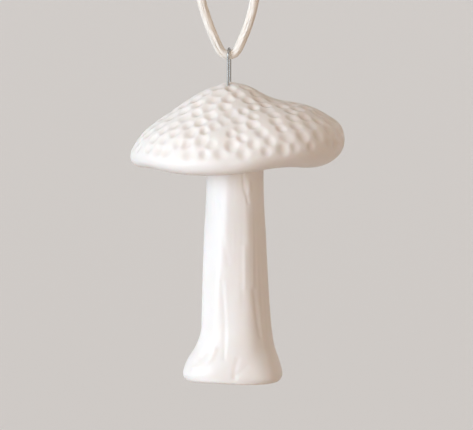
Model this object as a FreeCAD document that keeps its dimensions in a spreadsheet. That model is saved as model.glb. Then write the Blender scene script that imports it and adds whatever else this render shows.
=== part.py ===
import FreeCAD, Part
import math
import os

import Sketcher

# A porcelain mushroom that hangs from a loop of satin cord by a thin wire eye.
# Lengths are millimetres. The origin is the hang point, the top inside of the cord's loop,
# +Z is up, +X is the side of the cap's rounded lobe and -Y is the front.

# Driving dimensions, kept in the document's sheet under these names.
SIZES = (
    ("ornament_height", 65.35),
    ("eye_height", 5.82),
    ("cap_reach", 21.5),
    ("lobe_reach", 25.1),
    ("cap_height", 18.58),
    ("crown_radius", 0.7),
    ("recess_depth", 3.65),
    ("valley_depth", 0.7),
    ("rim_lift", 1.2),
    ("rim_dip", 0.3),
    ("stem_offset", 1.27),
    ("stem_radius", 6.24),
    ("seat_margin", 1.5),
    ("facet_depth", 0.14),
    ("foot_radius", 10.9),
    ("foot_lean", -0.5),
    ("foot_cut", 1.9),
    ("foot_swell", 1.0),
    ("foot_rise", 0.45),
    ("foot_tuck", 1.8),
    ("vent_radius", 1.5),
    ("tenon_radius", 4.0),
    ("tenon_length", 6.0),
    ("socket_spare", 0.4),
    ("joint_gap", 0.3),
    ("joint_fit", 0.02),
    ("slip_bead", 0.4),
    ("wire_width", 0.5),
    ("wire_depth", 5.5),
    ("wire_foot", 0.9),
    ("wire_bend", 0.7),
    ("wire_bed", 0.03),
    ("wire_turn", -8.0),
    ("eye_gap", 0.19),
    ("cord_width", 2.0),
    ("knot_width", 7.2),
    ("knot_height", 7.0),
    ("knot_round", 1.2),
    ("overrun", 1.0),
)

# Rows of the cap's outside, from the crown to the rim's lowest line: the distance out from the
# axis as a share of the reach, the depth below the apex as a share of the cap's height, and how
# far the row follows the rim's wave. The plain side is a cone, the lobe side a saddle and a swell.
PLAIN_SHARES = (
    (0.000, 0.002, 0.0),
    (0.095, 0.043, 0.0),
    (0.200, 0.080, 0.0),
    (0.335, 0.165, 0.0),
    (0.470, 0.258, 0.0),
    (0.600, 0.362, 0.0),
    (0.735, 0.468, 0.1),
    (0.850, 0.578, 0.2),
    (0.940, 0.710, 0.4),
    (0.995, 0.833, 0.7),
    (0.990, 0.931, 0.9),
    (0.930, 0.990, 1.0),
    (0.840, 1.000, 1.0),
)
LOBE_SHARES = (
    (0.000, 0.002, 0.0),
    (0.100, 0.028, 0.0),
    (0.190, 0.071, 0.0),
    (0.290, 0.147, 0.0),
    (0.410, 0.208, 0.0),
    (0.570, 0.243, 0.0),
    (0.720, 0.298, 0.1),
    (0.855, 0.392, 0.2),
    (0.960, 0.497, 0.4),
    (1.000, 0.648, 0.7),
    (0.985, 0.790, 0.9),
    (0.908, 0.909, 1.0),
    (0.785, 0.984, 1.0),
)
# Rows of the underside, from the rim in to the seat: the way out from the seat to the rim, the
# rise into the recess, and how far the row follows the rim's wave.
UNDERSIDE_SHARES = (
    (0.700, 0.060, 0.8),
    (0.380, 0.560, 0.4),
    (0.140, 1.000, 0.0),
    (0.000, 1.000, 0.0),
)
# Waves of the cap round its axis, as places in degrees from +X, widths in degrees and shares.
VALLEY_PLACES = ((-62.0, 15.0, 1.0), (66.0, 18.0, 1.0))
LIFT_PLACES = ((-48.0, 27.0, 0.9), (-147.0, 20.0, 0.5), (52.0, 24.0, 0.9), (165.0, 22.0, 0.3))
DIP_PLACES = ((-112.0, 26.0, 1.0), (128.0, 30.0, 1.0))
# How sharply the lobe gives way to the cone round the axis.
LOBE_POWER = 1.3

# Rows of the stem, from its top to its foot: the depth as a share of the stem's length, the
# widening as a share of the way from the top's radius to the foot's, and the lean as a share of
# the foot's lean.
STEM_SHARES = (
    (0.000, 0.000, 0.00),
    (0.060, 0.000, 0.00),
    (0.200, 0.012, 0.00),
    (0.340, 0.085, 0.00),
    (0.480, 0.152, -0.05),
    (0.600, 0.207, -0.20),
    (0.700, 0.258, -0.45),
    (0.780, 0.318, -0.65),
    (0.850, 0.516, -0.05),
    (0.905, 0.797, 0.75),
    (0.950, 0.965, 1.00),
    (0.978, 0.985, 1.00),
    (0.998, 0.830, 0.85),
    (1.000, 0.600, 0.80),
)
FACETS = 7
FACET_PLACE = -64.3
FOOT_CUT_PLACES = ((-94.0, 38.0, 1.0),)
FOOT_SWELL_PLACES = ((-40.0, 20.0, 0.7),)
FOOT_RISE_PLACES = ((-118.0, 34.0, 1.0),)

# Columns of the two hand-made forms.
CAP_COLUMNS = 36
STEM_COLUMNS = 42

# The cord's route, as x and z below the hang point: down the left strand from the knot, round
# the fold that rests in the wire eye, and up the right strand to the knot. The photograph shows
# the fold this tight.
CORD_ROUTE = (
    (-1.3, 0.0),
    (-1.3, -3.0),
    (-2.3, -7.2),
    (-4.3, -11.7),
    (-6.5, -16.8),
    (-7.5, -23.1),
    (-6.25, -29.6),
    (-4.7, -34.7),
    (-2.85, -39.15),
    (-1.73, -41.357),
    (-0.698, -41.997),
    (0.519, -42.003),
    (1.557, -41.371),
    (2.6, -39.29),
    (4.35, -35.1),
    (5.65, -29.8),
    (6.35, -23.1),
    (5.6, -16.8),
    (3.7, -11.7),
    (2.2, -7.2),
    (1.3, -3.0),
    (1.3, 0.0),
)
# The two cut ends above the knot, as x, y and z above the knot's top.
CORD_TAILS = (
    ((-1.3, 0.0, 0.0), (-1.3, 0.0, 2.4), (-2.1, -0.5, 5.3), (-3.6, -0.9, 8.3)),
    ((1.3, 0.0, 0.0), (1.3, 0.0, 2.2), (2.3, 0.4, 4.9), (4.1, 0.7, 7.4)),
)
# An arc between two runs takes this share of the shorter one.
ARC_SHARE = 0.45

doc = FreeCAD.newDocument("mushroom_ornament")
sheet = doc.addObject("Spreadsheet::Sheet", "sizes")
for line, (alias, value) in enumerate(SIZES, 1):
    sheet.set("A%d" % line, alias)
    sheet.set("B%d" % line, str(value))
    sheet.setAlias("B%d" % line, alias)
doc.recompute()


def size(alias):
    """One driving dimension, as the sheet holds it."""
    return float(sheet.get(alias))


# Levels and sizes that follow from the driving dimensions.
eye_drop = -sum(sorted(z for x, z in CORD_ROUTE)[:2]) / 2
apex_drop = eye_drop + size("eye_height")
seat_depth = size("cap_height") - size("recess_depth")
seat_reach = size("stem_offset") + size("stem_radius") + size("seat_margin")
stem_length = size("ornament_height") - seat_depth - size("joint_gap")
eye_radius = size("cord_width") / 2 + size("eye_gap") + size("wire_width") / 2
at_apex = FreeCAD.Vector(0, 0, -apex_drop)
at_joint = FreeCAD.Vector(size("stem_offset"), 0, -apex_drop - seat_depth - size("joint_gap"))


def bump(angle, places):
    """The sum of soft bumps round the axis, at angle degrees from +X."""
    total = 0
    for place, width, share in places:
        away = (angle - place + 180) % 360 - 180
        total += share * math.exp(-((away / width) ** 2))
    return total


def polar(radius, angle, level, shift=0):
    """A point at a radius and an angle in degrees, its axis shifted along X."""
    turn = math.radians(angle)
    return FreeCAD.Vector(shift + radius * math.cos(turn), radius * math.sin(turn), level)


def through(points, before, after):
    """Poles that make a cubic pass through a line of points, given each point's neighbours."""
    return [p - (b - p * 2 + a) / 6 for p, b, a in zip(points, before, after)]


def skinned(rings):
    """A closed solid: a smooth periodic skin over flat rings of points, with flat ends."""
    columns = len(rings[0])
    rows = len(rings)
    for row in range(2, rows - 2):
        rings[row] = through(rings[row], rings[row - 1], rings[row + 1])
    poles = [through(ring, ring[-1:] + ring[:-1], ring[1:] + ring[:1]) for ring in rings]
    skin = Part.BSplineSurface()
    skin.buildFromPolesMultsKnots(
        poles,
        [4] + [1] * (rows - 4) + [4],
        [1] * (columns + 1),
        [float(knot) for knot in range(rows - 2)],
        [float(knot) for knot in range(columns + 1)],
        False,
        True,
        3,
        3,
    )
    face = skin.toShape()
    ends = [Part.Face(Part.Wire([edge])) for edge in face.Edges if edge.isClosed()]
    shell = Part.Shell([face] + ends)
    shell.sewShape()
    return Part.Solid(shell)


def cap_ring(row, columns):
    """One ring of the cap's form, its apex at the origin."""
    points = []
    for column in range(columns):
        angle = 360 * column / columns
        lobe = max(0, math.cos(math.radians(angle))) ** LOBE_POWER
        outside = min(row, len(PLAIN_SHARES) - 1)
        plain_out, plain_depth, wave = PLAIN_SHARES[outside]
        lobe_out, lobe_depth, wave = LOBE_SHARES[outside]
        crown = size("crown_radius")
        reach = (1 - lobe) * plain_out * (size("cap_reach") - crown)
        reach += lobe * lobe_out * (size("lobe_reach") - crown) + crown
        reach -= size("valley_depth") * wave * bump(angle, VALLEY_PLACES)
        depth = ((1 - lobe) * plain_depth + lobe * lobe_depth) * size("cap_height")
        if row > outside:
            way_out, rise, wave = UNDERSIDE_SHARES[row - len(PLAIN_SHARES)]
            reach = seat_reach + (reach - seat_reach) * way_out
            depth = size("cap_height") - rise * size("recess_depth")
        lift = size("rim_lift") * bump(angle, LIFT_PLACES) - size("rim_dip") * bump(angle, DIP_PLACES)
        points.append(polar(reach, angle, lift * wave - depth))
    return points


def stem_ring(row, columns):
    """One ring of the stem's form, the middle of its top at the origin."""
    down, wide, lean = STEM_SHARES[row]
    points = []
    for column in range(columns):
        angle = 360 * column / columns
        radius = size("stem_radius") + wide * (size("foot_radius") - size("stem_radius"))
        radius += (1 - wide) * size("facet_depth") * math.cos(math.radians(FACETS * (angle - FACET_PLACE)))
        radius -= wide ** 2 * size("foot_cut") * bump(angle, FOOT_CUT_PLACES)
        radius += wide ** 2 * size("foot_swell") * bump(angle, FOOT_SWELL_PLACES)
        raised = bump(angle, FOOT_RISE_PLACES)
        rise = size("foot_rise") * raised if down < 1 else 0
        radius -= size("foot_tuck") * raised if down == 1 else 0
        level = wide ** 2 * rise - down * stem_length
        points.append(polar(radius, angle, level, lean * size("foot_lean")))
    return points


def feature(name, shape):
    """A document object that holds a shape made by hand."""
    made = doc.addObject("Part::Feature", name)
    made.Shape = shape
    return made


def cylinder(name, radius, height):
    """A cylinder along Z whose radius and height follow the sheet."""
    made = doc.addObject("Part::Cylinder", name)
    made.setExpression("Radius", radius)
    made.setExpression("Height", height)
    return made


def joined(kind, name, base, tool):
    """A cut or a fusion of two objects."""
    made = doc.addObject(kind, name)
    made.Base = base
    made.Tool = tool
    return made


def new_sketch(body, name, role):
    """A sketch on one of its body's own origin planes."""
    sketch = body.newObject("Sketcher::SketchObject", name)
    plane = [part for part in body.Origin.OriginFeatures if part.Role == role][0]
    sketch.AttachmentSupport = (plane, "")
    sketch.MapMode = "FlatFace"
    return sketch


def constrain(sketch, name, expression, *arguments):
    """A named constraint whose value follows the sheet."""
    number = sketch.addConstraint(Sketcher.Constraint(*arguments))
    sketch.renameConstraint(number, name)
    sketch.setExpression("Constraints." + name, expression)


def line(sketch, start, end):
    """A straight line in a sketch."""
    segment = Part.LineSegment(FreeCAD.Vector(*start, 0), FreeCAD.Vector(*end, 0))
    return sketch.addGeometry(segment, False)


def arc(sketch, centre, radius, first, last):
    """An arc in a sketch, anticlockwise between two angles in degrees."""
    circle = Part.Circle(FreeCAD.Vector(*centre, 0), FreeCAD.Vector(0, 0, 1), radius)
    return sketch.addGeometry(Part.ArcOfCircle(circle, math.radians(first), math.radians(last)), False)


def wire_hairpin(name, radius, radius_rule):
    """The bent wire: an arch over the cord, two legs and two feet turned out, from one foot's tip."""
    body = doc.addObject("PartDesign::Body", name)
    foot = size("wire_foot")
    bend = size("wire_bend")
    rise = size("wire_depth") + size("eye_height")
    near = foot + bend
    far = near + 2 * eye_radius
    path = new_sketch(body, name + "_path", "YZ_Plane")
    foot_in = line(path, (0, 0), (foot, 0))
    bend_up = arc(path, (foot, bend), bend, -90, 0)
    leg_up = line(path, (near, bend), (near, rise))
    arch = arc(path, (near + eye_radius, rise), eye_radius, 0, 180)
    leg_down = line(path, (far, rise), (far, bend))
    bend_out = arc(path, (far + bend, bend), bend, 180, 270)
    foot_out = line(path, (far + bend, 0), (far + bend + foot, 0))
    joints = ((foot_in, 2, bend_up, 1), (bend_up, 2, leg_up, 1), (leg_up, 2, arch, 2),
              (arch, 1, leg_down, 1), (leg_down, 2, bend_out, 1), (bend_out, 2, foot_out, 1))
    for joint in joints:
        path.addConstraint(Sketcher.Constraint("Tangent", *joint))
    path.addConstraint(Sketcher.Constraint("Coincident", foot_in, 1, -1, 1))
    path.addConstraint(Sketcher.Constraint("Horizontal", foot_in))
    path.addConstraint(Sketcher.Constraint("Vertical", leg_up))
    path.addConstraint(Sketcher.Constraint("Vertical", leg_down))
    path.addConstraint(Sketcher.Constraint("Horizontal", foot_out))
    path.addConstraint(Sketcher.Constraint("PointOnObject", foot_out, 2, -1))
    path.addConstraint(Sketcher.Constraint("Equal", bend_up, bend_out))
    path.addConstraint(Sketcher.Constraint("Equal", foot_in, foot_out))
    constrain(path, "foot", "sizes.wire_foot", "Distance", foot_in, foot)
    constrain(path, "bend", "sizes.wire_bend", "Radius", bend_up, bend)
    constrain(path, "eye", "sizes.cord_width / 2 + sizes.eye_gap + sizes.wire_width / 2",
              "Radius", arch, eye_radius)
    constrain(path, "rise", "sizes.wire_depth + sizes.eye_height", "DistanceY", -1, 1, arch, 3, rise)
    section = new_sketch(body, name + "_section", "XZ_Plane")
    ring = section.addGeometry(Part.Circle(FreeCAD.Vector(0, 0, 0), FreeCAD.Vector(0, 0, 1), radius), False)
    section.addConstraint(Sketcher.Constraint("Coincident", ring, 3, -1, 1))
    constrain(section, "radius", radius_rule, "Radius", ring, radius)
    pipe = body.newObject("PartDesign::AdditivePipe", name + "_pipe")
    pipe.Profile = section
    pipe.Spine = (path, [])
    turn = FreeCAD.Rotation(FreeCAD.Vector(0, 0, 1), size("wire_turn"))
    start = turn.multVec(FreeCAD.Vector(0, -near - eye_radius, 0))
    body.Placement = FreeCAD.Placement(start - FreeCAD.Vector(0, 0, size("wire_depth")), turn)
    return body


def make_cap():
    """The cap: its free form, with the stem's socket and the wire's bed cut into it."""
    rows = len(PLAIN_SHARES) + len(UNDERSIDE_SHARES)
    form = feature("cap_form", skinned([cap_ring(row, CAP_COLUMNS) for row in range(rows)]))
    socket = cylinder("cap_socket", "sizes.tenon_radius + sizes.joint_gap",
                      "sizes.tenon_length + sizes.socket_spare + sizes.overrun")
    socket.setExpression("Placement.Base.x", "sizes.stem_offset")
    socket.setExpression("Placement.Base.z", "-(sizes.cap_height - sizes.recess_depth) - sizes.joint_gap"
                         " - sizes.overrun")
    bed = wire_hairpin("wire_bed_tool", size("wire_width") / 2 + size("wire_bed"),
                       "sizes.wire_width / 2 + sizes.wire_bed")
    cap = joined("Part::Cut", "cap", joined("Part::Cut", "cap_socketed", form, socket), bed)
    cap.Placement.Base = at_apex
    return cap


def make_stem():
    """The stem: its faceted form, the tenon on its top and the vent along its middle."""
    rings = [stem_ring(row, STEM_COLUMNS) for row in range(len(STEM_SHARES))]
    form = feature("stem_form", skinned(rings))
    tenon = cylinder("stem_tenon", "sizes.tenon_radius", "sizes.tenon_length + sizes.overrun")
    tenon.setExpression("Placement.Base.z", "-sizes.overrun")
    vent = cylinder("stem_vent", "sizes.vent_radius",
                    "sizes.ornament_height + sizes.tenon_length + 2 * sizes.overrun")
    vent.setExpression("Placement.Base.z", "-sizes.ornament_height - sizes.overrun")
    stem = joined("Part::Cut", "stem", joined("Part::Fuse", "stem_tenoned", form, tenon), vent)
    stem.Placement.Base = at_joint
    return stem


def make_luting_slip():
    """The slip in the joint: a sleeve round the tenon and a flange with a bead under the cap."""
    body = doc.addObject("PartDesign::Body", "luting_slip")
    gap = size("joint_gap")
    fit = size("joint_fit")
    inner = size("tenon_radius") + fit
    outer = size("tenon_radius") + gap - fit
    top = size("tenon_length") - gap
    edge = size("stem_radius") + size("slip_bead")
    sketch = new_sketch(body, "slip_section", "XZ_Plane")
    corners = ((inner, 0), (edge, 0), (edge, gap), (outer, gap), (outer, top), (inner, top))
    sides = [line(sketch, corners[n], corners[(n + 1) % len(corners)]) for n in range(len(corners))]
    for number, side in enumerate(sides):
        after = sides[(number + 1) % len(sides)]
        sketch.addConstraint(Sketcher.Constraint("Coincident", side, 2, after, 1))
        kind = "Horizontal" if number % 2 == 0 else "Vertical"
        sketch.addConstraint(Sketcher.Constraint(kind, side))
    sketch.addConstraint(Sketcher.Constraint("PointOnObject", sides[0], 1, -1))
    constrain(sketch, "inner", "sizes.tenon_radius + sizes.joint_fit", "DistanceX", -1, 1, sides[0], 1, inner)
    constrain(sketch, "outer", "sizes.tenon_radius + sizes.joint_gap - sizes.joint_fit",
              "DistanceX", -1, 1, sides[3], 1, outer)
    constrain(sketch, "edge", "sizes.stem_radius + sizes.slip_bead", "DistanceX", -1, 1, sides[0], 2, edge)
    constrain(sketch, "gap", "sizes.joint_gap", "Distance", sides[1], gap)
    constrain(sketch, "top", "sizes.tenon_length - sizes.joint_gap", "DistanceY", -1, 1, sides[5], 1, top)
    turned = body.newObject("PartDesign::Revolution", "slip_turned")
    turned.Profile = sketch
    turned.ReferenceAxis = (sketch, ["V_Axis"])
    turned.Angle = 360
    body.Placement.Base = at_joint
    return body


def make_hanging_wire():
    """The wire eye, its legs set in the cap's apex."""
    wire = wire_hairpin("hanging_wire", size("wire_width") / 2, "sizes.wire_width / 2")
    wire.Placement.Base = wire.Placement.Base + at_apex
    return wire


def route_wire(points):
    """Straight runs joined by tangent arcs, and the arcs' radii."""
    edges = []
    radii = []
    last = points[0]
    for before, corner, after in zip(points, points[1:], points[2:]):
        run_in = corner - before
        run_out = after - corner
        half = run_in.getAngle(run_out) / 2
        cut = ARC_SHARE * min(run_in.Length, run_out.Length)
        radius = cut / math.tan(half)
        to_before = (before - corner).normalize()
        to_after = (after - corner).normalize()
        start = corner + to_before * cut
        end = corner + to_after * cut
        inward = (to_before + to_after).normalize()
        middle = corner + inward * (radius / math.cos(half) - radius)
        edges.append(Part.LineSegment(last, start).toShape())
        edges.append(Part.Arc(start, middle, end).toShape())
        radii.append(radius)
        last = end
    edges.append(Part.LineSegment(last, points[-1]).toShape())
    return Part.Wire(edges), radii


def tube(points, radius):
    """A round tube along a route, and the radii of the route's arcs."""
    path, radii = route_wire(points)
    circle = Part.Wire([Part.Circle(points[0], points[1] - points[0], radius).toShape()])
    solid = path.makePipeShell([circle], True, True)
    print("tube length %.2f, volume over section times length %.5f"
          % (path.Length, solid.Volume / (math.pi * radius ** 2 * path.Length)))
    print("arc radii", " ".join("%.2f" % value for value in radii))
    return solid


def make_cord():
    """The loop of cord, from the knot's underside through the wire eye and back."""
    points = [FreeCAD.Vector(x, 0, z) for x, z in CORD_ROUTE]
    return feature("cord", tube(points, size("cord_width") / 2))


def make_cord_ends():
    """The two cut ends of the cord, above the knot."""
    tails = [tube([FreeCAD.Vector(*point) for point in tail], size("cord_width") / 2) for tail in CORD_TAILS]
    ends = feature("cord_ends", Part.makeCompound(tails))
    ends.Placement.Base = FreeCAD.Vector(0, 0, size("knot_height"))
    return ends


def make_cord_knot():
    """The knot's envelope: a barrel with flat ends, where the strands meet it."""
    body = doc.addObject("PartDesign::Body", "cord_knot")
    sketch = new_sketch(body, "knot_section", "XY_Plane")
    radius = size("knot_width") / 2
    ring = sketch.addGeometry(Part.Circle(FreeCAD.Vector(0, 0, 0), FreeCAD.Vector(0, 0, 1), radius), False)
    sketch.addConstraint(Sketcher.Constraint("Coincident", ring, 3, -1, 1))
    constrain(sketch, "radius", "sizes.knot_width / 2", "Radius", ring, radius)
    pad = body.newObject("PartDesign::Pad", "knot_pad")
    pad.Profile = sketch
    pad.setExpression("Length", "sizes.knot_height")
    doc.recompute()
    rims = ["Edge%d" % (n + 1) for n, edge in enumerate(pad.Shape.Edges) if edge.isClosed()]
    rounded = body.newObject("PartDesign::Fillet", "knot_rounded")
    rounded.Base = (pad, rims)
    rounded.setExpression("Radius", "sizes.knot_round")
    body.Placement.Base = FreeCAD.Vector(0, 0, 0)
    return body


parts = [
    make_cap(),
    make_stem(),
    make_luting_slip(),
    make_hanging_wire(),
    make_cord(),
    make_cord_knot(),
    make_cord_ends(),
]
doc.recompute()

for item in doc.Objects:
    if "Invalid" in item.State or "Error" in item.State:
        raise RuntimeError("%s did not build: %s" % (item.Name, item.State))
for part in parts:
    if part.Shape.isNull() or not part.Shape.isValid():
        raise RuntimeError("%s has no valid shape" % part.Label)

os.makedirs("parts", exist_ok=True)
for part in parts:
    part.Shape.exportStep("parts/%s.step" % part.Label)
    box = part.Shape.BoundBox
    print("%s: %d solids, %.1f mm3, z %.2f to %.2f" % (
        part.Label, len(part.Shape.Solids), part.Shape.Volume, box.ZMin, box.ZMax))
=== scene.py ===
import math

import bmesh
import bpy
import numpy as np
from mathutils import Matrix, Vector


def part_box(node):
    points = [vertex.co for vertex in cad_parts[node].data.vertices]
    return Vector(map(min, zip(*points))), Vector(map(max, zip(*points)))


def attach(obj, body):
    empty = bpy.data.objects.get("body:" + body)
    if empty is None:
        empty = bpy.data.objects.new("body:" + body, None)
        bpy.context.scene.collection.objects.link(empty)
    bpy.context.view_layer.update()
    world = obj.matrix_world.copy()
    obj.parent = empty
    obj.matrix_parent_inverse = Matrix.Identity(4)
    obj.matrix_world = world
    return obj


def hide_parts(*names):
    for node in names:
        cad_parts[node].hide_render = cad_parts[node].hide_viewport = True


# A porcelain mushroom that hangs from a loop of satin cord by a thin wire eye.
# Lengths are metres, +Z is up, +X is the side of the cap's rounded lobe and -Y is the front.
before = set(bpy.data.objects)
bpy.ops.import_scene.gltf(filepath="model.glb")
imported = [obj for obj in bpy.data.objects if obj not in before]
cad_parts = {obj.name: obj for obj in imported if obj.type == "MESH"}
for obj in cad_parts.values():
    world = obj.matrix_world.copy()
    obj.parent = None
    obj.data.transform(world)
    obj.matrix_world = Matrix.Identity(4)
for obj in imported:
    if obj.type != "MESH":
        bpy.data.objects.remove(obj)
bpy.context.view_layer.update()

# The view: how far off and how many degrees up the camera stands, what it looks at and how wide the
# picture is there.
VIEW_DISTANCE = 0.95
VIEW_ELEVATION = 5.5
VIEW_AIM = Vector((0.0016, 0.0, -0.0769))
PICTURE_WIDTH = 0.1031

# The cord: its width, the length of its loop under the knot, and the sides of its tube.
CORD_WIDTH = 0.002
CORD_SIDES = 24
# The cord's route, as x and z below the hang point: down the left strand from under the knot,
# round the fold that rests in the wire eye, and up the right strand.
CORD_ROUTE = (
    (-0.0013, 0.0),
    (-0.0013, -0.003),
    (-0.0023, -0.0072),
    (-0.0043, -0.0117),
    (-0.0065, -0.0168),
    (-0.0075, -0.0231),
    (-0.00625, -0.0296),
    (-0.0047, -0.0347),
    (-0.00285, -0.03915),
    (-0.00173, -0.041357),
    (-0.000698, -0.041997),
    (0.000519, -0.042003),
    (0.001557, -0.041371),
    (0.0026, -0.03929),
    (0.00435, -0.0351),
    (0.00565, -0.0298),
    (0.00635, -0.0231),
    (0.0056, -0.0168),
    (0.0037, -0.0117),
    (0.0022, -0.0072),
    (0.0013, -0.003),
    (0.0013, 0.0),
)
# The spline's steps between two points of the route.
SPLINE_STEPS = 12
# The two cut ends above the knot, as x, y and z upwards, how far back each end is rounded, and the
# share of that length at which it is cut.
CORD_TAILS = (
    ((-0.0013, 0.0, 0.0098), (-0.0021, -0.0005, 0.0123), (-0.0036, -0.0009, 0.0153)),
    ((0.0013, 0.0, 0.0096), (0.0023, 0.0004, 0.0119), (0.0041, 0.0007, 0.0144)),
)
TAIL_ROUNDING = 0.0005
TAIL_CUT_SHARE = 0.05
# Creases in the cord's cover: how deep, how far apart on average, and the least and most that one
# reaches along the cord, leans in radians a metre and spans in radians. Each goes in by the whole
# depth or stands out by half of it.
CREASE_DEPTH = 0.00007
CREASE_SPACING = 0.0015
CREASE_REACHES = (0.0012, 0.0035)
CREASE_LEANS = (-180, 180)
CREASE_SPANS = (0.25, 0.5)
CREASE_SHARES = (-1, 0.5)
CREASE_SEED = 5
# The knot: the points along each of its two strands, those fixed at each end, the height of its middle
# and the cord that each strand keeps in it. Then the loose knot that it starts as: its size, how far
# it goes round, and how far each strand lies from its middle line, as a share of the cord's width.
KNOT_POINTS = 64
FIXED_POINTS = 2
KNOT_MIDDLE = 0.0045
KNOT_RUN = 0.0315
LOOSE_SIZE = (0.0040, 0.0035, 0.0014)
LOOSE_TURN = 2.05
LOOSE_SPACE_SHARE = 0.6
# How it is drawn tight: the steps, and how much faster than the steps it shrinks; the pulls in each
# step, and the share of a wrong length that a pull mends; how many points of a strand stay nearly
# straight, and how nearly; the share of an overlap that a step mends, and how many widths along a
# strand two of its points lie apart before they push each other away.
KNOT_STEPS = 700
KNOT_HASTE = 1.4
PULLS = 4
PULL_SHARE = 0.6
STIFF_POINTS = 4
STIFF_SHARE = 0.88
PUSH_SHARE = 0.7
PUSH_WIDTHS = 1.7

# The cap and the stem, as the solids have them.
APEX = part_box("cap")[1].z
CAP_HEIGHT = 0.01858
CAP_REACH = 0.0215
LOBE_REACH = 0.0251
CROWN_RADIUS = 0.0007
RECESS_DEPTH = 0.00365
VALLEY_DEPTH = 0.0007
RIM_LIFT = 0.0012
RIM_DIP = 0.0003
STEM_OFFSET = 0.00127
STEM_RADIUS = 0.00624
SEAT_MARGIN = 0.0015
FOOT_RADIUS = 0.0109
FOOT_LEAN = -0.0005
FOOT_CUT = 0.0019
FOOT_SWELL = 0.001
FOOT_RISE = 0.00045
FOOT_TUCK = 0.0018
TENON_RADIUS = 0.004
TENON_LENGTH = 0.006
JOINT_GAP = 0.0003
SOCKET_SPARE = 0.0004
VENT_RADIUS = 0.0015

# Rows of the cap's outside, from the crown to the rim: out, depth and share of the rim's wave.
PLAIN_SHARES = (
    (0.000, 0.002, 0.0),
    (0.095, 0.043, 0.0),
    (0.200, 0.080, 0.0),
    (0.335, 0.165, 0.0),
    (0.470, 0.258, 0.0),
    (0.600, 0.362, 0.0),
    (0.735, 0.468, 0.1),
    (0.850, 0.578, 0.2),
    (0.940, 0.710, 0.4),
    (0.995, 0.833, 0.7),
    (0.990, 0.931, 0.9),
    (0.930, 0.990, 1.0),
    (0.840, 1.000, 1.0),
)
LOBE_SHARES = (
    (0.000, 0.002, 0.0),
    (0.100, 0.028, 0.0),
    (0.190, 0.071, 0.0),
    (0.290, 0.147, 0.0),
    (0.410, 0.208, 0.0),
    (0.570, 0.243, 0.0),
    (0.720, 0.298, 0.1),
    (0.855, 0.392, 0.2),
    (0.960, 0.497, 0.4),
    (1.000, 0.648, 0.7),
    (0.985, 0.790, 0.9),
    (0.908, 0.909, 1.0),
    (0.785, 0.984, 1.0),
)
# Rows of the underside, from the rim in to the seat: the way out, the rise and the wave.
UNDERSIDE_SHARES = (
    (0.700, 0.060, 0.8),
    (0.380, 0.560, 0.4),
    (0.140, 1.000, 0.0),
    (0.000, 1.000, 0.0),
)
# Waves round the cap's axis: places in degrees from +X, widths in degrees and shares.
VALLEY_PLACES = ((-62.0, 15.0, 1.0), (66.0, 18.0, 1.0))
LIFT_PLACES = ((-48.0, 27.0, 0.9), (-147.0, 20.0, 0.5), (52.0, 24.0, 0.9), (165.0, 22.0, 0.3))
DIP_PLACES = ((-112.0, 26.0, 1.0), (128.0, 30.0, 1.0))
LOBE_POWER = 1.3
# Rows of the stem, from its top to its foot: depth, widening and lean.
STEM_SHARES = (
    (0.000, 0.000, 0.00),
    (0.060, 0.000, 0.00),
    (0.200, 0.012, 0.00),
    (0.340, 0.085, 0.00),
    (0.480, 0.152, -0.05),
    (0.600, 0.207, -0.20),
    (0.700, 0.258, -0.45),
    (0.780, 0.318, -0.65),
    (0.850, 0.516, -0.05),
    (0.905, 0.797, 0.75),
    (0.950, 0.965, 1.00),
    (0.978, 0.985, 1.00),
    (0.998, 0.830, 0.85),
    (1.000, 0.600, 0.80),
)
# Its facets: how many, how sharp, and where one of their edges is. Then where its foot is cut back,
# swells, and rises from the ground.
FACETS = 7
FACET_SHARPNESS = 15
FACET_PLACE = -64.3
FOOT_CUT_PLACES = ((-94.0, 38.0, 1.0),)
FOOT_SWELL_PLACES = ((-40.0, 20.0, 0.7),)
FOOT_RISE_PLACES = ((-118.0, 34.0, 1.0),)
# The facets are softer at the stem's top, and the one on the left wanders as it goes down. Each is
# a share of the depth, and how strong the facets are or how many degrees the edge is turned there.
FACET_GROWTH = ((0.0, 0.1), (0.2, 0.35), (0.4, 1.0))
EDGE_TURN = ((0.0, 18.0), (0.75, -13.0))
EDGE_PLACES = ((-113.0, 35.0, 1.0),)

# The dimples pressed into the cap: how far down its slope they go, how far apart they start and
# end up, their radius, how much longer they are down the slope, their depth, their disorder, and
# how much further they go down the lobe.
DIMPLE_FIRST = 0.0034
DIMPLE_LAST = 0.0252
DIMPLE_STEP = 0.0024
DIMPLE_PITCH = 0.0041
DIMPLE_SPACE = 0.0033
DIMPLE_RADIUS = 0.00168
DIMPLE_STRETCH = 1.2
DIMPLE_DEPTH = 0.00042
DIMPLE_STRAY = 0.0007
DIMPLE_SPREAD = 0.1
# How they differ: the least and most of their sizes and depths as shares, and how far the long way of
# each turns. Then the power that sets how sharp their edges are.
DIMPLE_SIZE_SHARES = (0.82, 1.15)
DIMPLE_DEPTH_SHARES = (0.7, 1.2)
DIMPLE_TURN = 0.3
DIMPLE_POWER = 2.2
DIMPLE_SIZE_SEED = 3
# How they are evened out: the rounds, the share of the missing space that a round gives, and the rows
# of the points that they may lie at, with the columns from one to the next.
DIMPLE_ROUNDS = 14
DIMPLE_PUSH_SHARE = 0.3
DIMPLE_ROWS = 220
DIMPLE_COLUMNS = 4
DIMPLE_PLACE_SEED = 7

# The clay is pressed in a little round the wire's front leg: its place, radius and depth.
FRONT_LEG = (-0.0002, -0.00142)
PRESS_RADIUS = 0.0009
PRESS_DEPTH = 0.00035

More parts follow.
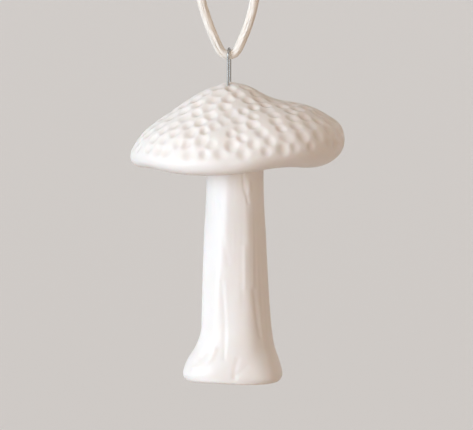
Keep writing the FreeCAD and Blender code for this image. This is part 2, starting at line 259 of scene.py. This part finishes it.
# Tool marks on the stem: how far they stand out, how wide they are, and their lines as places in
# degrees from +X and depths below the joint.
STEM_MARKS = (
    (-0.00009, 0.00060, ((-128.0, 0.0101), (-115.6, 0.0170), (-102.6, 0.0235))),
    (-0.00009, 0.00055, ((-114.0, 0.0275), (-107.9, 0.0349), (-105.5, 0.0442))),
    (0.00004, 0.00045, ((-105.7, 0.0290), (-104.0, 0.0360), (-102.4, 0.0435))),
    (0.00010, 0.00060, ((-72.8, 0.0202), (-72.8, 0.0291))),
    (-0.00013, 0.00040, ((-74.1, 0.0040), (-71.0, 0.0075), (-63.4, 0.0105))),
    (0.00020, 0.00060, ((-61.5, 0.0064), (-61.0, 0.0080))),
    (-0.00013, 0.00060, ((-55.7, 0.0298), (-52.0, 0.0350), (-46.9, 0.0396))),
    (-0.00045, 0.00130, ((-137.0, 0.0432), (-141.0, 0.0442))),
    (0.00022, 0.00055, ((-121.0, 0.0425), (-124.0, 0.0445), (-134.0, 0.0462), (-149.0, 0.0466))),
    (-0.00010, 0.00060, ((-86.0, 0.0445), (-90.0, 0.0465), (-91.0, 0.0490))),
    (-0.00008, 0.00050, ((-74.0, 0.0460), (-84.0, 0.0475), (-90.0, 0.0480))),
)
# Streaks up the stem, left by the tool that cut its facets: how deep, how many, and the least and
# most of their middles' depth below the joint, their reach, their lean in degrees a metre and their
# width in degrees.
STREAK_DEPTH = 0.00003
STREAK_COUNT = 46
STREAK_DROPS = (0.002, 0.045)
STREAK_REACHES = (0.004, 0.014)
STREAK_LEANS = (-250, 250)
STREAK_WIDTHS = (2.0, 4.5)
STREAK_SEED = 11

# The meshes: their columns and rows, how many of the stem's last rows take no marks, the steps between
# two rings that measure a length, and the angle in degrees from which an edge is hard.
CAP_COLUMNS = 440
CAP_ROWS = 120
UNDERSIDE_ROWS = 26
STEM_COLUMNS = 220
STEM_ROWS = 200
PLAIN_ROWS = 10
FINE_STEPS = 40
HARD_EDGE = 50.0

# The glaze: its colours where it is thin and in the dimples (partly pooled glaze, partly painted shade),
# how fine its clouds and ripples are per metre, how deep the ripples are, and how far light spreads under
# it.
THIN_GLAZE = (0.84, 0.84, 0.835, 1.0)
POOLED_AND_SHADED_GLAZE = (0.77, 0.74, 0.715, 1.0)
GLAZE_CLOUDS = 140.0
GLAZE_RIPPLES = 900.0
RIPPLE_DEPTH = 0.0001
GLAZE_SPREAD = 0.0015
# The cord's threads: the colours between and on them, how fine they are across the cord's two unit
# directions and per metre along it, and how deep.
LOW_THREAD = (0.79, 0.75, 0.68, 1.0)
HIGH_THREAD = (1.0, 0.98, 0.93, 1.0)
THREAD_SCALE = (2.0, 2.0, 170.0)
THREAD_DEPTH = 0.0007
# The wire's steel: its colour, the least and most of its roughness, and the lines of its drawing: how
# fine they are per metre across and along it, and how deep.
STEEL = (0.30, 0.295, 0.285, 1.0)
STEEL_ROUGHNESS = (0.18, 0.30)
LINE_SCALE = (6000.0, 6000.0, 500.0)
LINE_DEPTH = 0.00002

# The stage: the floor's level, radius and sides. Then colours, first as the camera, gloss and glass
# see them and then as they light the object: the floor's own, its glow, and the surround.
FLOOR_LEVEL = -0.6
FLOOR_RADIUS = 40.0
FLOOR_SIDES = 96
FLOOR_COLOURS = ((0.46, 0.47, 0.48), (0.75, 0.66, 0.60))
FLOOR_GLOWS = ((0.30, 0.30, 0.30), (0.0, 0.0, 0.0))
SURROUND_COLOURS = ((0.60, 0.60, 0.59), (0.18, 0.12, 0.07))
# Each lamp's name, direction, width in degrees, strength and colour.
LAMPS = (
    ("window", (-0.70, -0.71, 0.10), 35.0, 2.56, (0.76, 0.875, 1.0)),
    ("window side", (-0.95, -0.30, 0.10), 30.0, 1.20, (0.71, 0.89, 1.0)),
    ("ceiling", (-0.55, -0.20, 0.81), 60.0, 0.93, (1.0, 0.87, 0.78)),
    ("room", (0.68, -0.20, 0.70), 60.0, 0.20, (1.0, 0.85, 0.70)),
    ("wall", (0.75, 0.60, 0.25), 60.0, 0.40, (1.0, 0.85, 0.80)),
    ("low", (0.25, -0.93, -0.25), 60.0, 2.02, (1.0, 0.74, 0.55)),
)

SEAT_LEVEL = APEX - CAP_HEIGHT + RECESS_DEPTH
JOINT_LEVEL = SEAT_LEVEL - JOINT_GAP
FOOT_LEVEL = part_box("stem")[0].z
SEAT_REACH = STEM_OFFSET + STEM_RADIUS + SEAT_MARGIN


def new_object(name, data):
    """A new object in the scene."""
    made = bpy.data.objects.new(name, data)
    bpy.context.scene.collection.objects.link(made)
    return made


def make_camera():
    """The camera, at the photograph's height and distance."""
    camera = new_object("camera", bpy.data.cameras.new("camera"))
    rise = math.radians(VIEW_ELEVATION)
    back = Vector((0.0, -math.cos(rise), math.sin(rise)))
    camera.location = VIEW_AIM + back * VIEW_DISTANCE
    camera.rotation_euler = back.to_track_quat("Z", "Y").to_euler()
    camera.data.lens = camera.data.sensor_width * VIEW_DISTANCE / PICTURE_WIDTH
    camera.data.clip_start = VIEW_DISTANCE / 100
    camera.data.clip_end = 2 * FLOOR_RADIUS
    bpy.context.scene.camera = camera


def angles_round(count):
    """Angles in degrees, evenly spaced round the axis."""
    return np.arange(count) * 360 / count


def wrapped(angles):
    """Angles in degrees, brought within half a turn of zero."""
    return (angles + 180) % 360 - 180


def bump(angles, places):
    """The sum of soft bumps round the axis, at angles in degrees from +X."""
    total = np.zeros_like(angles)
    for place, width, share in places:
        total += share * np.exp(-((wrapped(angles - place) / width) ** 2))
    return total


def ring(radius, angles, level, shift=0.0):
    """Points round an axis shifted along X; radius and level are numbers or one value a point."""
    turn = np.radians(angles)
    points = np.zeros((len(angles), 3))
    points[:, 0] = shift + radius * np.cos(turn)
    points[:, 1] = radius * np.sin(turn)
    points[:, 2] = level
    return points


def between(rings, rows):
    """Rings at fractional rows, on a smooth line through the given rings."""
    ends = [2 * rings[0] - rings[1]], rings, [2 * rings[-1] - rings[-2]]
    known = np.concatenate(ends)
    row = np.clip(np.floor(rows).astype(int), 0, len(rings) - 2)
    t = (rows - row)[:, None, None]
    a, b, c, d = (known[row + step] for step in range(4))
    return b + 0.5 * t * (c - a + t * (2 * a - 5 * b + 4 * c - d + t * (3 * (b - c) + d - a)))


def even_rows(rings, first, last, count):
    """Fractional rows from first to last, evenly spaced on the surface, and the mean length there."""
    fine = np.linspace(first, last, FINE_STEPS * (last - first) + 1)
    steps = np.linalg.norm(np.diff(between(rings, fine), axis=0), axis=2).mean(axis=1)
    length = np.concatenate([[0.0], np.cumsum(steps)])
    return np.interp(np.linspace(0, length[-1], count), length, fine), length[-1]


def grid_mesh(name, rings, poles=None):
    """A closed mesh over rings of points. Two poles close its ends, or else it meets itself."""
    rows, columns = len(rings), len(rings[0])
    points = np.concatenate(rings)
    number = np.arange(rows * columns).reshape(rows, columns)
    if poles is None:
        number = np.vstack([number, number[:1]])
    a, b = number[:-1], number[1:]
    quads = np.stack([a, b, np.roll(b, -1, 1), np.roll(a, -1, 1)], axis=-1).reshape(-1, 4).tolist()
    if poles is not None:
        points = np.vstack([points, poles])
        first, last = rows * columns, rows * columns + 1
        quads += [(first, i, j) for i, j in zip(number[0], np.roll(number[0], -1))]
        quads += [(j, i, last) for i, j in zip(number[-1], np.roll(number[-1], -1))]
    mesh = bpy.data.meshes.new(name)
    mesh.from_pydata(points.tolist(), [], quads)
    return mesh


def finished(mesh):
    """The mesh as an object, smooth but for its hard edges."""
    mesh.polygons.foreach_set("use_smooth", np.ones(len(mesh.polygons), bool))
    mesh.set_sharp_from_angle(angle=math.radians(HARD_EDGE))
    mesh.update()
    return new_object(mesh.name, mesh)


def vectors(items, name):
    """A vector of each item, such as its place."""
    values = np.zeros(len(items) * 3)
    items.foreach_get(name, values)
    return values.reshape(-1, 3)


def pushed(mesh, distance):
    """Moves each point out along its normal."""
    points = vectors(mesh.vertices, "co") + vectors(mesh.vertex_normals, "vector") * distance[:, None]
    mesh.vertices.foreach_set("co", points.ravel())
    mesh.update()


def loose_knot(low, high):
    """The knot's two strands as they start, side by side along the curve of a loose overhand knot."""
    t = np.linspace(-LOOSE_TURN, LOOSE_TURN, KNOT_POINTS - 2)
    middle = np.stack([t ** 3 - 3 * t, t ** 4 - 4 * t ** 2 + 2, t ** 5 - 10 * t], axis=1)
    middle = middle * LOOSE_SIZE + (0, 0, KNOT_MIDDLE)
    strands = np.zeros((2, KNOT_POINTS, 3))
    strands[:, 1:-1] = middle
    along = np.gradient(middle, axis=0)
    side = np.cross(along, (0.0, 1.0, 0.0))
    side /= np.linalg.norm(side, axis=1)[:, None]
    strands[:, 1:-1] += np.array([-1, 1])[:, None, None] * side * CORD_WIDTH * LOOSE_SPACE_SHARE
    upright = np.array([0.0, 0.0, KNOT_RUN / KNOT_POINTS])
    for step in range(FIXED_POINTS):
        strands[:, step] = low + step * upright
        strands[:, -1 - step] = high - step * upright
    return strands


def spaced(points, first, second, least, most, share):
    """Moves pairs of points to lie from least to most apart, by a share of what is wrong."""
    apart = points[second] - points[first]
    gap = np.linalg.norm(apart, axis=1)[:, None]
    move = 0.5 * apart * (1 - np.clip(gap, least, most) / gap)
    np.add.at(points, first, share * move)
    np.add.at(points, second, -share * move)


def tied_knot(low, high):
    """The two strands of an overhand knot tied with both, drawn tight between their fixed ends."""
    strands = loose_knot(low, high)
    loose = np.linalg.norm(np.diff(strands, axis=1), axis=2).mean()
    tight = KNOT_RUN / KNOT_POINTS
    points = strands.reshape(-1, 3)
    number = np.arange(len(points))
    same = (number[:, None] // KNOT_POINTS) == (number // KNOT_POINTS)
    place = number % KNOT_POINTS
    fixed = (place < FIXED_POINTS) | (place >= KNOT_POINTS - FIXED_POINTS)
    held = points[fixed]
    next_ones = number[:-1][same[number[:-1], number[1:]]]
    stiff_ones = number[:-STIFF_POINTS][same[number[:-STIFF_POINTS], number[STIFF_POINTS:]]]
    first, second = np.triu_indices(len(points), 1)
    for step in range(KNOT_STEPS):
        rest = tight + (loose - tight) * max(0, 1 - KNOT_HASTE * step / KNOT_STEPS)
        straight = STIFF_SHARE * STIFF_POINTS * rest
        for pull in range(PULLS):
            spaced(points, next_ones, next_ones + 1, rest, rest, PULL_SHARE)
            spaced(points, stiff_ones, stiff_ones + STIFF_POINTS, straight, np.inf, PULL_SHARE)
            points[fixed] = held
        near = math.ceil(PUSH_WIDTHS * CORD_WIDTH / rest)
        gap = np.linalg.norm(points[second] - points[first], axis=1)
        close = (gap < CORD_WIDTH) & ~(same[first, second] & (second - first <= near))
        spaced(points, first[close], second[close], CORD_WIDTH, np.inf, PUSH_SHARE)
        points[fixed] = held
    return points.reshape(2, KNOT_POINTS, 3)


def smooth_line(route):
    """The points of one open spline along a route."""
    data = bpy.data.curves.new("cord_line", "CURVE")
    data.dimensions = "3D"
    line = data.splines.new("NURBS")
    line.points.add(len(route) - 1)
    for point, place in zip(line.points, route):
        point.co = (*place, 1.0)
    line.order_u = 3
    line.use_endpoint_u = True
    line.resolution_u = SPLINE_STEPS
    holder = bpy.data.objects.new("cord_line", data)
    mesh = bpy.data.meshes.new_from_object(holder)
    points = vectors(mesh.vertices, "co")
    bpy.data.objects.remove(holder)
    bpy.data.meshes.remove(mesh)
    return points


def creases(length, turn, seed):
    """How far the cord's cover stands out, by the lengths along it and the angles round it."""
    draw = np.random.default_rng(seed)
    relief = np.zeros((len(length), len(turn)))
    for number in range(int(length[-1] / CREASE_SPACING)):
        middle, reach = draw.uniform(0, length[-1]), draw.uniform(*CREASE_REACHES)
        lean, span = draw.uniform(*CREASE_LEANS), draw.uniform(*CREASE_SPANS)
        down = length[:, None] - middle
        away = (turn - draw.uniform(0, math.tau) - lean * down + math.pi) % math.tau - math.pi
        relief += draw.choice(CREASE_SHARES) * np.exp(-((down / reach) ** 2) - (away / span) ** 2)
    return CREASE_DEPTH * relief


def cord_tube(name, path, seed, rounded=False):
    """A creased tube of cord along a line of points, its last end rounded or cut flat.

    Each of its points also keeps its place on the threads: round the cord and along it."""
    steps = np.linalg.norm(np.diff(path, axis=0), axis=1)
    length = np.concatenate([[0.0], np.cumsum(steps)])
    turn = np.arange(CORD_SIDES) * math.tau / CORD_SIDES
    radius = np.full(len(path), CORD_WIDTH / 2)
    if rounded:
        near = np.clip((length[-1] - length) / TAIL_ROUNDING, TAIL_CUT_SHARE, 1)
        radius -= TAIL_ROUNDING * (1 - np.sqrt(1 - (1 - near) ** 2))
    along = np.gradient(path, axis=0)
    along /= np.linalg.norm(along, axis=1)[:, None]
    side = np.cross(along[0], (0.0, 1.0, 0.0))
    rings = []
    for place, ahead, crease, reach in zip(path, along, creases(length, turn, seed), radius):
        side = side - ahead * side.dot(ahead)
        side /= np.linalg.norm(side)
        out = np.outer(np.cos(turn), side) + np.outer(np.sin(turn), np.cross(ahead, side))
        rings.append(place + out * (reach + crease[:, None]))
    mesh = grid_mesh(name, rings, [path[0], path[-1]])
    threads = np.concatenate([ring(1.0, np.degrees(turn), down) for down in length])
    threads = np.vstack([threads, (0.0, 0.0, 0.0), (0.0, 0.0, length[-1])])
    mesh.attributes.new("thread", "FLOAT_VECTOR", "POINT").data.foreach_set("vector", threads.ravel())
    return mesh


def make_cord():
    """The loop of cord, from under the knot round the wire eye and back, with its line."""
    path = smooth_line([(x, 0.0, z) for x, z in CORD_ROUTE])
    return finished(cord_tube("satin_cord", path, CREASE_SEED)), path


def make_knot():
    """The knot that closes the loop, and the cord's two cut ends above it."""
    low = [(x, 0.0, z) for x, z in (CORD_ROUTE[0], CORD_ROUTE[-1])]
    high = [tail[0] for tail in CORD_TAILS]
    form = bmesh.new()
    for number, strand in enumerate(tied_knot(low, high)):
        path = smooth_line([strand[0], *strand[1:-1:2], *CORD_TAILS[number]])
        form.from_mesh(cord_tube("strand", path, number, rounded=True))
    mesh = bpy.data.meshes.new("tied_knot")
    form.to_mesh(mesh)
    return finished(mesh)


def cap_rings():
    """The rings that the cap's solid is skinned over, a small one on top of them, and their angles."""
    angles = angles_round(CAP_COLUMNS)
    lobe = np.maximum(0, np.cos(np.radians(angles))) ** LOBE_POWER
    rings = [ring(CROWN_RADIUS / 4, angles, APEX)]
    lift = RIM_LIFT * bump(angles, LIFT_PLACES) - RIM_DIP * bump(angles, DIP_PLACES)
    for plain, swell in zip(PLAIN_SHARES, LOBE_SHARES):
        depth, wave = ((1 - lobe) * p + lobe * q for p, q in zip(plain[1:], swell[1:]))
        reach = (1 - lobe) * plain[0] * (CAP_REACH - CROWN_RADIUS) + CROWN_RADIUS
        reach += lobe * swell[0] * (LOBE_REACH - CROWN_RADIUS)
        reach -= VALLEY_DEPTH * wave * bump(angles, VALLEY_PLACES)
        rings.append(ring(reach, angles, APEX + lift * wave - depth * CAP_HEIGHT))
    for way_out, rise, wave in UNDERSIDE_SHARES:
        inner = SEAT_REACH + (reach - SEAT_REACH) * way_out
        rings.append(ring(inner, angles, APEX + lift * wave - CAP_HEIGHT + rise * RECESS_DEPTH))
    return rings, angles


def evened_out(places, band):
    """The places after they push each other apart, each one brought back to the band's points."""
    for turn in range(DIMPLE_ROUNDS):
        apart = places[:, None] - places[None]
        gap = np.linalg.norm(apart, axis=2) + np.eye(len(places))
        push = np.maximum(0, DIMPLE_SPACE - gap) / gap
        places = places + DIMPLE_PUSH_SHARE * (apart * push[:, :, None]).sum(axis=1)
        for number, place in enumerate(places):
            places[number] = band[np.argmin(((band - place) ** 2).sum(axis=1))]
    return places


def dimple_places(rings):
    """Where the dimples are pressed: rings of them down the slope, astray, then evened out."""
    draw = np.random.default_rng(DIMPLE_PLACE_SEED)
    rows, length = even_rows(rings, 1, len(PLAIN_SHARES) - 2, DIMPLE_ROWS)
    surface = between(rings, rows)
    column = np.arange(CAP_COLUMNS)
    spread = 1 + DIMPLE_SPREAD * np.maximum(0, np.cos(column * math.tau / CAP_COLUMNS))
    places = []
    for distance in np.arange(DIMPLE_FIRST, DIMPLE_LAST, DIMPLE_STEP):
        line = surface[(distance / length * len(rows) * spread).astype(int), column]
        along = np.cumsum(np.linalg.norm(line - np.roll(line, 1, axis=0), axis=1))
        count = round(along[-1] / DIMPLE_PITCH)
        start = draw.random()
        for number in range(count):
            nearest = np.searchsorted(along, (number + start) / count * along[-1]) % len(line)
            places.append(line[nearest] + draw.normal(size=3) * DIMPLE_STRAY)
    height = np.arange(len(rows))[:, None] / len(rows) * length / spread
    inside = (height >= DIMPLE_FIRST) & (height <= DIMPLE_LAST) & (column % DIMPLE_COLUMNS == 0)
    return evened_out(np.array(places), surface[inside])


def dimple_depths(points, rings):
    """How deep the dimples go at each point, as a share of their depth."""
    pits = np.zeros(len(points))
    sizes = np.random.default_rng(DIMPLE_SIZE_SEED)
    for place in dimple_places(rings):
        down = place - (0.0, 0.0, APEX)
        down = down / np.linalg.norm(down) + sizes.normal(size=3) * DIMPLE_TURN
        down /= np.linalg.norm(down)
        away = ((points - place) ** 2).sum(axis=1)
        away -= (1 - DIMPLE_STRETCH ** -2) * (points - place).dot(down) ** 2
        away /= (DIMPLE_RADIUS * sizes.uniform(*DIMPLE_SIZE_SHARES)) ** 2
        bowl = np.maximum(0, 1 - away) ** DIMPLE_POWER
        pits += (bowl * sizes.uniform(*DIMPLE_DEPTH_SHARES)) ** 2
    return np.sqrt(pits)


def make_cap():
    """The dimpled cap, with its recess and the socket for the stem."""
    rings, angles = cap_rings()
    known = np.array(rings)
    rim = len(PLAIN_SHARES)
    outside = even_rows(known, 0, rim, CAP_ROWS)[0]
    inside = even_rows(known, rim, len(known) - 1, UNDERSIDE_ROWS)[0][1:]
    rows = list(between(known, np.concatenate([outside, inside])))
    socket_radius = TENON_RADIUS + JOINT_GAP
    ceiling = SEAT_LEVEL + TENON_LENGTH + SOCKET_SPARE - JOINT_GAP
    for radius, level in (
        (socket_radius + SEAT_MARGIN, SEAT_LEVEL),
        (socket_radius, SEAT_LEVEL),
        (socket_radius, ceiling),
        (socket_radius / 4, ceiling),
    ):
        rows.append(ring(radius, angles, level, STEM_OFFSET))
    poles = [(0.0, 0.0, APEX), (STEM_OFFSET, 0.0, ceiling)]
    mesh = grid_mesh("glazed_cap", rows, poles)
    points = vectors(mesh.vertices, "co")
    top = np.arange(len(points)) < CAP_ROWS * CAP_COLUMNS
    pits = np.where(top, dimple_depths(points, known), 0)
    from_leg = np.hypot(points[:, 0] - FRONT_LEG[0], points[:, 1] - FRONT_LEG[1])
    press = np.where(top, np.exp(-((from_leg / PRESS_RADIUS) ** 2)), 0)
    pushed(mesh, -DIMPLE_DEPTH * pits - PRESS_DEPTH * press)
    # Each point's dimple depth, which the glaze uses to paint the dimples darker: partly pooled glaze,
    # partly painted shade.
    mesh.attributes.new("pooled_and_shaded", "FLOAT", "POINT").data.foreach_set("value", pits)
    return finished(mesh)


def facets(angles):
    """How far a rounded polygon departs from its own mean circle, as a share of its radius."""
    total = np.zeros_like(angles, dtype=float)
    for number in range(FACETS):
        facing = np.cos(np.radians(angles - FACET_PLACE - (number + 0.5) * 360 / FACETS))
        total += np.maximum(0, facing) ** FACET_SHARPNESS
    shape = total ** (-1 / FACET_SHARPNESS)
    return shape - shape.mean()


def stem_relief(points):
    """How far the stem's surface stands out at each point: its tool marks and streaks."""
    x, y = points[:, 0] - STEM_OFFSET, points[:, 1]
    radius = np.hypot(x, y)
    place = np.degrees(np.arctan2(y, x))
    drop = JOINT_LEVEL - points[:, 2]
    relief = np.zeros(len(points))
    for height, width, line in STEM_MARKS:
        nearest = np.full(len(points), np.inf)
        for (place_a, drop_a), (place_b, drop_b) in zip(line, line[1:]):
            across, down = np.radians(wrapped(place_b - place_a)) * radius, drop_b - drop_a
            to_x, to_y = np.radians(wrapped(place - place_a)) * radius, drop - drop_a
            share = np.clip((to_x * across + to_y * down) / (across ** 2 + down ** 2), 0, 1)
            nearest = np.minimum(nearest, np.hypot(to_x - share * across, to_y - share * down))
        relief += height * np.exp(-((nearest / width) ** 2))
    draw = np.random.default_rng(STREAK_SEED)
    for number in range(STREAK_COUNT):
        middle, reach = draw.uniform(*STREAK_DROPS), draw.uniform(*STREAK_REACHES)
        lean, width = draw.uniform(*STREAK_LEANS), draw.uniform(*STREAK_WIDTHS)
        away = wrapped(place - draw.uniform(0, 360) - lean * (drop - middle))
        fade = np.exp(-((drop - middle) / reach) ** 2)
        relief += draw.choice([-1, 1]) * STREAK_DEPTH * fade * np.exp(-((away / width) ** 2))
    return relief


def stem_rings():
    """The rings that the stem's outside is skinned over, from the joint to the foot, and their angles."""
    angles = angles_round(STEM_COLUMNS)
    rings = []
    for down, wide, lean in STEM_SHARES:
        turned = angles - np.interp(down, *zip(*EDGE_TURN)) * bump(angles, EDGE_PLACES)
        strength = np.interp(down, *zip(*FACET_GROWTH)) * (1 - wide)
        radius = STEM_RADIUS + wide * (FOOT_RADIUS - STEM_RADIUS)
        radius = radius + strength * STEM_RADIUS * facets(turned)
        radius -= wide ** 2 * FOOT_CUT * bump(angles, FOOT_CUT_PLACES)
        radius += wide ** 2 * FOOT_SWELL * bump(angles, FOOT_SWELL_PLACES)
        level = JOINT_LEVEL - down * (JOINT_LEVEL - FOOT_LEVEL)
        if down < 1:
            level = level + wide ** 2 * FOOT_RISE * bump(angles, FOOT_RISE_PLACES)
        else:
            radius -= FOOT_TUCK * bump(angles, FOOT_RISE_PLACES)
        rings.append(ring(radius, angles, level, STEM_OFFSET + lean * FOOT_LEAN))
    return rings, angles


def make_stem():
    """The faceted stem, with its tenon and the vent up its middle."""
    rings, angles = stem_rings()
    known = np.array(rings)
    rows = list(between(known, even_rows(known, 0, len(rings) - 1, STEM_ROWS)[0]))
    tenon_top = JOINT_LEVEL + TENON_LENGTH
    for radius, level in (
        (VENT_RADIUS * 2, FOOT_LEVEL),
        (VENT_RADIUS, FOOT_LEVEL),
        (VENT_RADIUS, tenon_top),
        (TENON_RADIUS, tenon_top),
        (TENON_RADIUS, JOINT_LEVEL),
    ):
        rows.append(ring(radius, angles, level, STEM_OFFSET))
    mesh = grid_mesh("glazed_stem", rows)
    outside = np.arange(len(mesh.vertices)) < (STEM_ROWS - PLAIN_ROWS) * STEM_COLUMNS
    pushed(mesh, np.where(outside, stem_relief(vectors(mesh.vertices, "co")), 0))
    return finished(mesh)


def new_material(name):
    """A material, its node tree and its shader."""
    material = bpy.data.materials.new(name)
    material.use_nodes = True
    return material, material.node_tree, material.node_tree.nodes["Principled BSDF"]


def feed(tree, node, inputs):
    """Gives a node's inputs their values, or links them to other nodes' outputs."""
    for name, value in inputs.items():
        if isinstance(value, bpy.types.NodeSocket):
            tree.links.new(value, node.inputs[name])
        else:
            node.inputs[name].default_value = value


def added(tree, kind, output, inputs, **settings):
    """One output of a new node with these inputs and settings."""
    node = tree.nodes.new("ShaderNode" + kind)
    for name, value in settings.items():
        setattr(node, name, value)
    feed(tree, node, inputs)
    return node.outputs[output]


def noise(tree, place, scale, detail):
    """Cloudy noise at a place, from 0 to 1."""
    return added(tree, "TexNoise", "Fac", {"Vector": place, "Scale": scale, "Detail": detail})


def mapped(tree, value, start, end, first, last):
    """A number from start to end, brought to lie from first to last."""
    return added(tree, "MapRange", "Result", {
        "Value": value,
        "From Min": start,
        "From Max": end,
        "To Min": first,
        "To Max": last,
    })


def larger(tree, first, second):
    """The larger of two numbers."""
    return added(tree, "Math", "Value", {0: first, 1: second}, operation="MAXIMUM")


def between_colours(tree, share, first, second):
    """A colour on the way from the first one to the second."""
    return added(tree, "Mix", "Result", {"Factor": share, "A": first, "B": second}, data_type="RGBA")


def fine_relief(tree, height, strength, distance):
    """The normal of a surface with fine relief."""
    return added(tree, "Bump", "Normal", {"Height": height, "Strength": strength, "Distance": distance})


def make_porcelain():
    """White glaze over porcelain, darker and warmer in the dimples: partly pooled glaze, partly painted
    shade.
    """
    material, tree, shader = new_material("porcelain_glaze")
    place = added(tree, "TexCoord", "Object", {})
    pooled_and_shaded = added(tree, "Attribute", "Fac", {}, attribute_name="pooled_and_shaded")
    clouds = mapped(tree, noise(tree, place, GLAZE_CLOUDS, 4.0), 0.35, 0.75, 0.0, 0.35)
    # Painted shade in the dimples, together with the glaze pooled there, over random clouds of tone.
    pit_shade_and_clouds = added(tree, "Math", "Value", {0: pooled_and_shaded, 1: 0.55, 2: clouds}, operation="MULTIPLY_ADD")
    feed(tree, shader, {
        "Base Color": between_colours(tree, pit_shade_and_clouds, THIN_GLAZE, POOLED_AND_SHADED_GLAZE),
        "Normal": fine_relief(tree, noise(tree, place, GLAZE_RIPPLES, 2.0), 0.12, RIPPLE_DEPTH),
        "Roughness": 0.46,
        "Coat Weight": 0.06,
        "Coat Roughness": 0.25,
        "Subsurface Weight": 0.1,
        "Subsurface Scale": GLAZE_SPREAD,
    })
    return material


def make_satin():
    """Cream satin, with the fine lines of the threads along it."""
    material, tree, shader = new_material("satin_cord")
    place = added(tree, "Attribute", "Vector", {}, attribute_name="thread")
    stretched = added(tree, "Mapping", "Vector", {"Vector": place, "Scale": THREAD_SCALE})
    threads = noise(tree, stretched, 1.0, 3.0)
    feed(tree, shader, {
        "Base Color": between_colours(tree, threads, LOW_THREAD, HIGH_THREAD),
        "Normal": fine_relief(tree, threads, 1.0, THREAD_DEPTH),
        "Roughness": 0.42,
        "Sheen Weight": 0.35,
    })
    return material


def make_steel():
    """Drawn steel wire, with the faint lines of its drawing and uneven gloss."""
    material, tree, shader = new_material("steel_wire")
    place = added(tree, "TexCoord", "Object", {})
    stretched = added(tree, "Mapping", "Vector", {"Vector": place, "Scale": LINE_SCALE})
    lines = noise(tree, stretched, 1.0, 2.0)
    feed(tree, shader, {
        "Base Color": STEEL,
        "Metallic": 1.0,
        "Roughness": mapped(tree, lines, 0.3, 0.7, *STEEL_ROUGHNESS),
        "Normal": fine_relief(tree, lines, 0.15, LINE_DEPTH),
    })
    return material


def seen_or_not(tree, seen, unseen):
    """A colour that the camera, gloss and glass see, and another that lights the object."""
    path = tree.nodes.new("ShaderNodeLightPath").outputs
    share = larger(tree, path["Is Camera Ray"], path["Is Glossy Ray"])
    share = larger(tree, share, path["Is Transmission Ray"])
    return between_colours(tree, share, (*unseen, 1.0), (*seen, 1.0))


def make_floor():
    """A plain pale floor, far below."""
    mesh = bpy.data.meshes.new("floor")
    corners = ring(FLOOR_RADIUS, angles_round(FLOOR_SIDES), FLOOR_LEVEL)
    mesh.from_pydata(corners.tolist(), [], [list(range(FLOOR_SIDES))])
    floor = new_object("floor", mesh)
    material, tree, shader = new_material("floor")
    feed(tree, shader, {
        "Base Color": seen_or_not(tree, *FLOOR_COLOURS),
        "Emission Color": seen_or_not(tree, *FLOOR_GLOWS),
        "Emission Strength": 1.0,
        "Roughness": 0.9,
    })
    mesh.materials.append(material)


def make_surround():
    """A plain pale surround."""
    world = bpy.data.worlds.new("surround")
    bpy.context.scene.world = world
    world.use_nodes = True
    tree = world.node_tree
    feed(tree, tree.nodes["Background"], {"Color": seen_or_not(tree, *SURROUND_COLOURS)})


def make_lamps():
    """Soft light, most of it from the front left."""
    for name, towards, width, strength, colour in LAMPS:
        light = bpy.data.lights.new(name, "SUN")
        light.energy = strength
        light.color = colour
        light.angle = math.radians(width)
        lamp = new_object(name, light)
        lamp.rotation_euler = Vector(towards).to_track_quat("Z", "Y").to_euler()


bpy.context.scene.view_settings.view_transform = "Standard"
make_camera()
cord, cord_path = make_cord()
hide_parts("cord")
knot = make_knot()
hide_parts("cord_knot", "cord_ends")
satin = make_satin()
for piece in (cord, knot):
    piece.data.materials.append(satin)
    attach(piece, "hanger")

porcelain = make_porcelain()
cap = make_cap()
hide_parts("cap")
stem = make_stem()
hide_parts("stem")
for piece in (cap, stem):
    piece.data.materials.append(porcelain)
    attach(piece, "ornament")

# These two keep their solids and have new materials.
for node, material in (("hanging_wire", make_steel()), ("luting_slip", porcelain)):
    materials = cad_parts[node].data.materials
    materials.clear()
    materials.append(material)

make_floor()
make_surround()
make_lamps()
